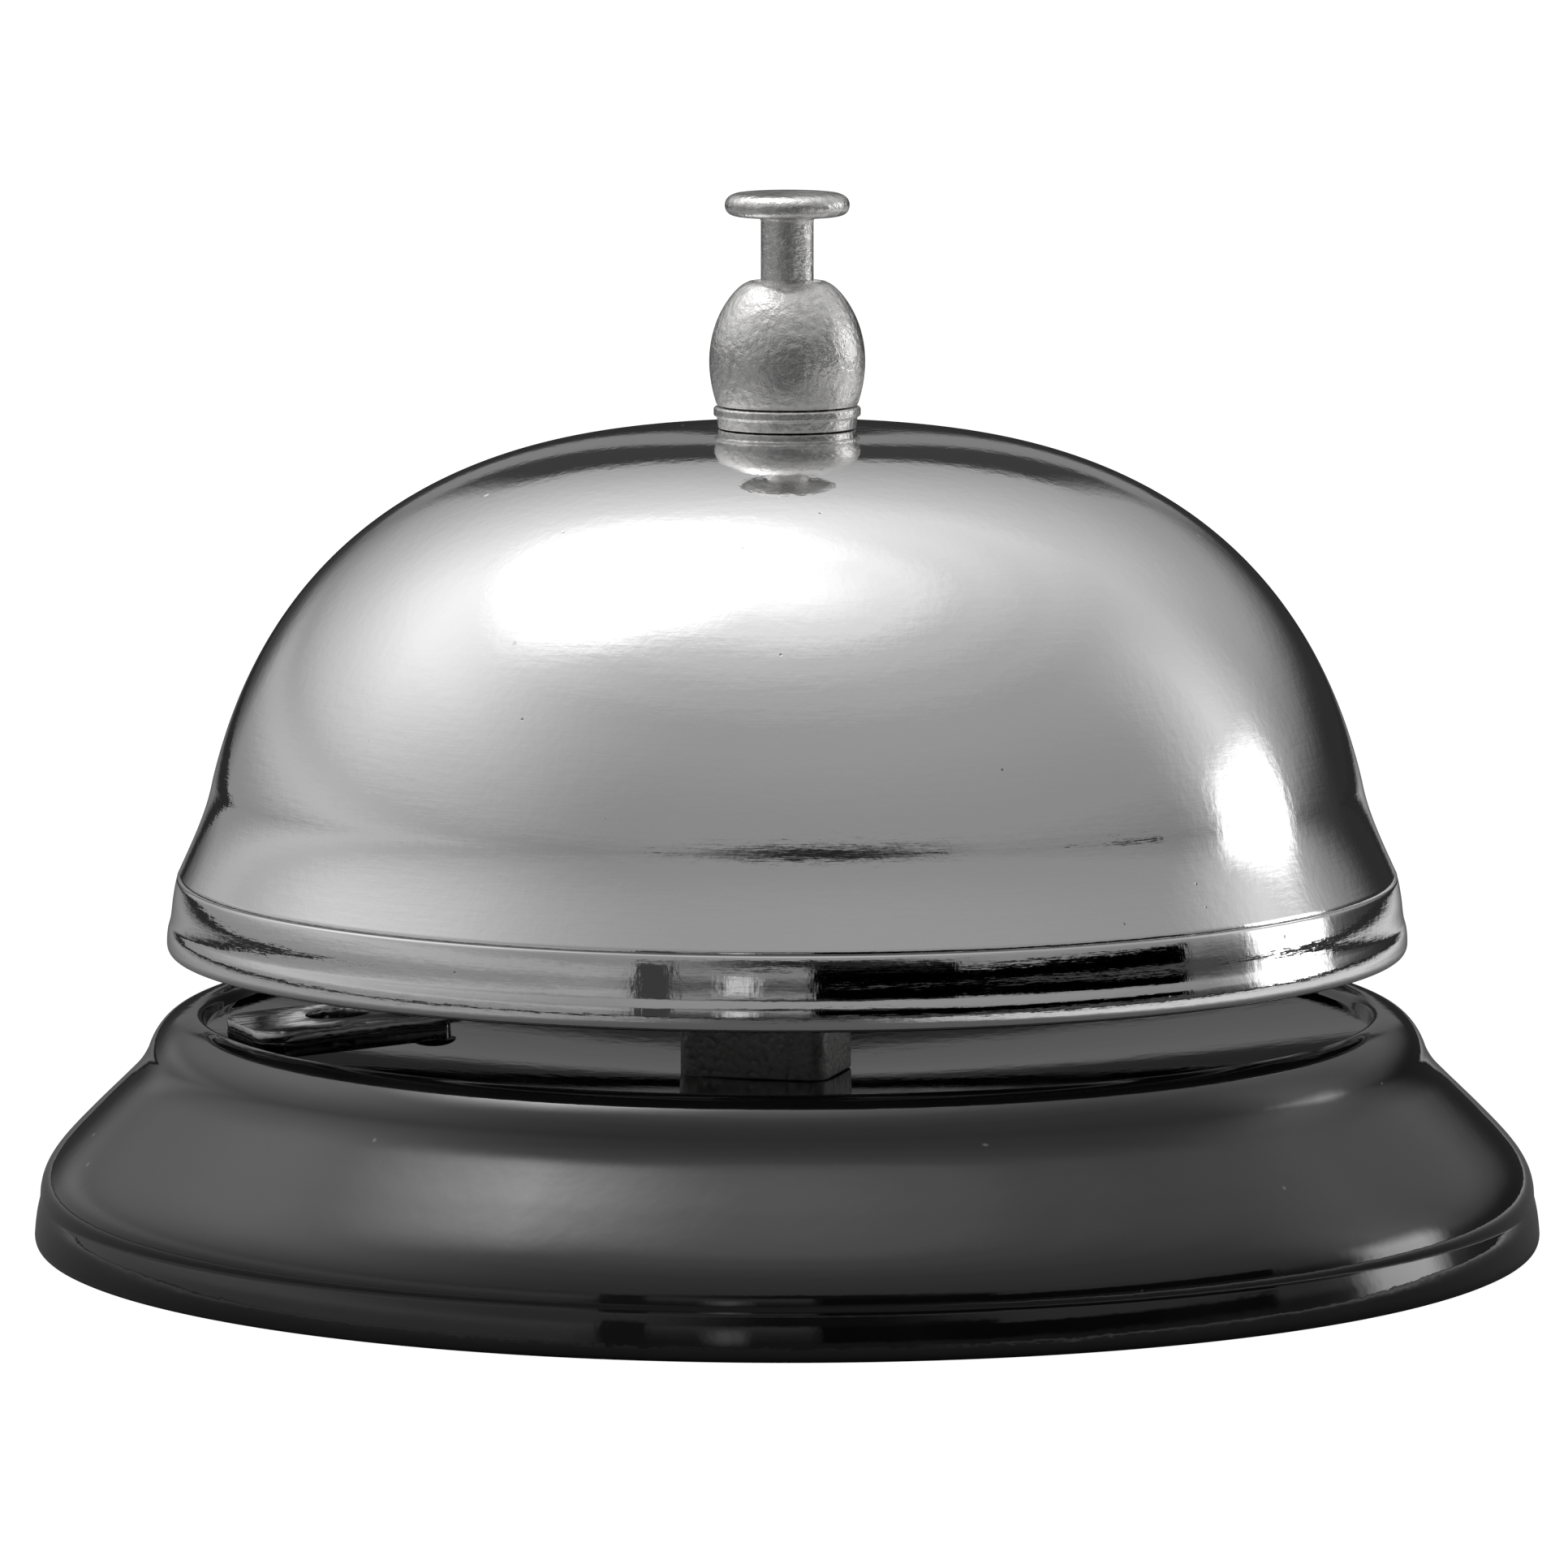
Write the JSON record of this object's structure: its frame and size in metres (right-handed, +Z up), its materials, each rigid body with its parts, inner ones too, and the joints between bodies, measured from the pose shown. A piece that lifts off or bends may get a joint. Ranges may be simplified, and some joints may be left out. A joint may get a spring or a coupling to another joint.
{
  "type": "desk call bell",
  "caption": "Desk call bell: chrome bell on a black dished base, with a push button that swings a striker to the bell's wall.",
  "frame": {"origin": "on the bell's axis, at the level that the grip ring stands on", "axes": "+Z up along the bell's and plunger's axis; +X to the right and +Y to the back as seen from the front; the striker's head lies to the left and a little to the front"},
  "size_m": [0.085, 0.085, 0.0593],
  "materials": {
    "black_paint": "gloss black stoved paint on pressed steel",
    "rubber": "matt",
    "zinc": "grainy grey zinc casting",
    "steel": "turned steel",
    "chrome": "bright chrome",
    "nickel": "satin nickel plate",
    "fibre": "fibre washer",
    "dark_steel": "dark glossy steel sheet"
  },
  "bodies": {
    "stand": {"base_shell": "black_paint", "grip_ring": "rubber", "pedestal": "zinc", "pedestal_screw_1": "steel", "pedestal_screw_2": "steel", "post": "steel", "post_washer": "steel", "jam_nut": "steel", "crown_washer": "fibre", "bell": "chrome", "collar_ring": "nickel", "cap_nut": "nickel", "pivot_pin": "steel", "pivot_clip": "steel", "plunger_spring": "steel"},
    "button": {"plunger": "nickel", "plunger_collar": "steel"},
    "striker": {"striker_arm": "dark_steel", "striker_weight": "dark_steel", "weight_rivet_1": "steel", "weight_rivet_2": "steel"}
  },
  "joints": [
    {"name": "plunger_press", "type": "slide", "parent": "stand", "child": "button", "axis": [0, 0, -1], "range_m": [0, 0.0026], "stiffness_N_per_m": 400, "springref_m": -0.003, "deforming": ["plunger_spring"]},
    {"name": "striker_swing", "type": "hinge", "parent": "stand", "child": "striker", "pos_m": [-0.01028, -0.00391, 0.01981], "axis": [-0.3551, 0.9348, 0], "range_deg": [0, 13.6]}
  ],
  "couplings": [
    {"joint": "striker_swing", "follows": "plunger_press", "rad_per_m": 90.909}
  ]
}
